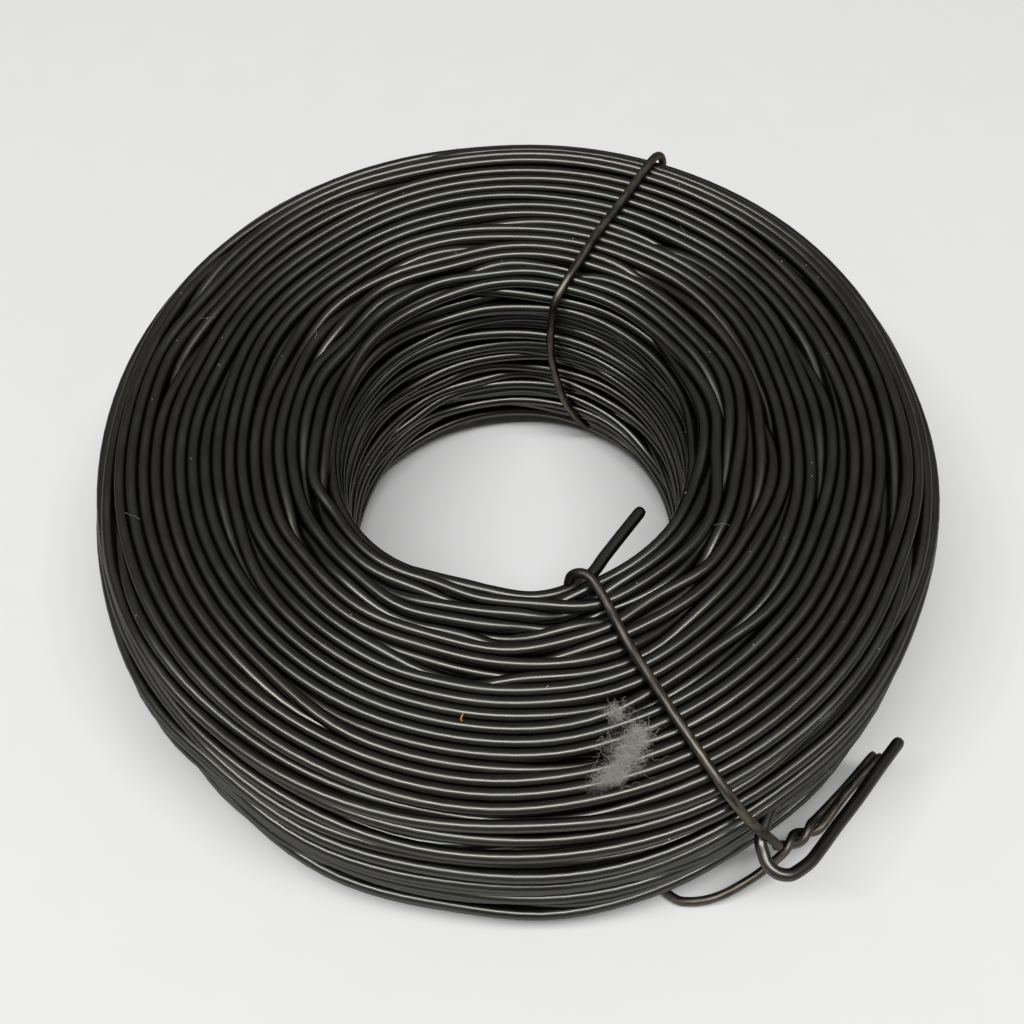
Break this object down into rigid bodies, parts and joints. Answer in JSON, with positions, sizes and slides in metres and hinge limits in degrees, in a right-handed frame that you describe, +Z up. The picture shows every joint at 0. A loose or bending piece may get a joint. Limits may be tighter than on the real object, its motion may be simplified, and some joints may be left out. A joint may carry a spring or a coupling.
{
  "type": "coil of binding wire",
  "caption": "Coil of black annealed steel binding wire wound round an open bore, held by thin twisted wire ties, with a bent free end on the outside and another in the bore.",
  "frame": {"origin": "on the axis of the bore, at the floor that the coil lies on", "axes": "+Z up along the bore's axis; -Y is the side that faces the picture's camera, +X its right"},
  "size_m": [0.114, 0.114, 0.0373],
  "materials": {
    "annealed_wire": "black annealed steel with a thin film of oil, satin",
    "tie_wire": "dark annealed steel, satin, a little browner than the coil"
  },
  "bodies": {
    "root": {"wire_coil": "annealed_wire", "front_tie_wire": "tie_wire", "rear_tie_wire": "tie_wire"}
  },
  "joints": []
}
